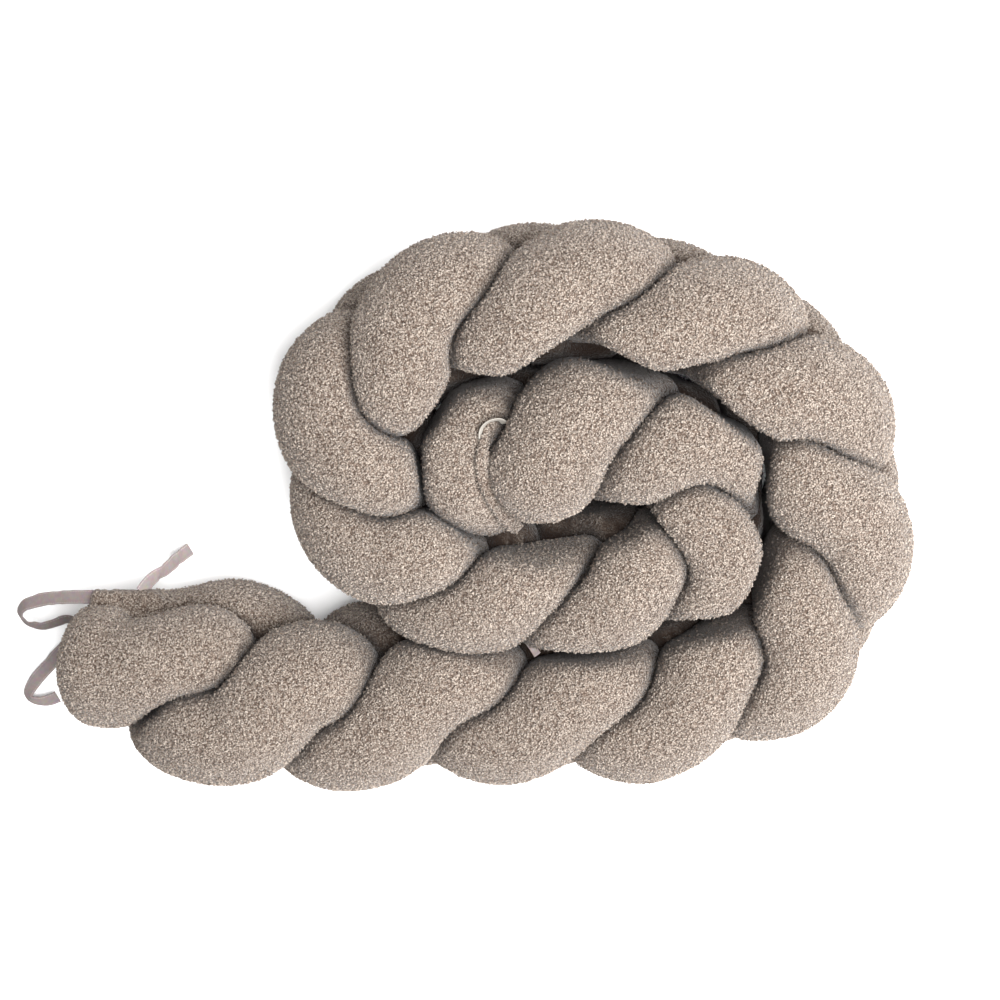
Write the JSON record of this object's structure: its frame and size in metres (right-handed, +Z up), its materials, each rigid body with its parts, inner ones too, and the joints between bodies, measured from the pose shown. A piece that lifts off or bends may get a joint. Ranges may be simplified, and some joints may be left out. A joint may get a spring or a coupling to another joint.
{
  "type": "braided crib bumper",
  "caption": "Long soft bumper plaited from stuffed boucle tubes, standing on its edge and wound into a flat spiral, with cotton ties at its ends.",
  "frame": {"origin": "on the floor, under the middle of the box around the whole object", "axes": "+Z up; +X from the braid's tail towards the far side of the coil; the straight first length of the braid runs along X on the -Y side"},
  "size_m": [0.8142, 0.5108, 0.1635],
  "materials": {
    "boucle": "curly looped pile, matte",
    "cotton": "plain woven cotton, matte",
    "cream_tape": "narrow woven tape, matte"
  },
  "bodies": {
    "root": {"strand_1": "boucle", "strand_2": "boucle", "strand_3": "boucle", "tail_seam": "boucle", "tail_tie_upper": "cotton", "tail_tie_lower": "cotton", "inner_tie": "cotton", "inner_loop": "cream_tape"}
  },
  "joints": []
}
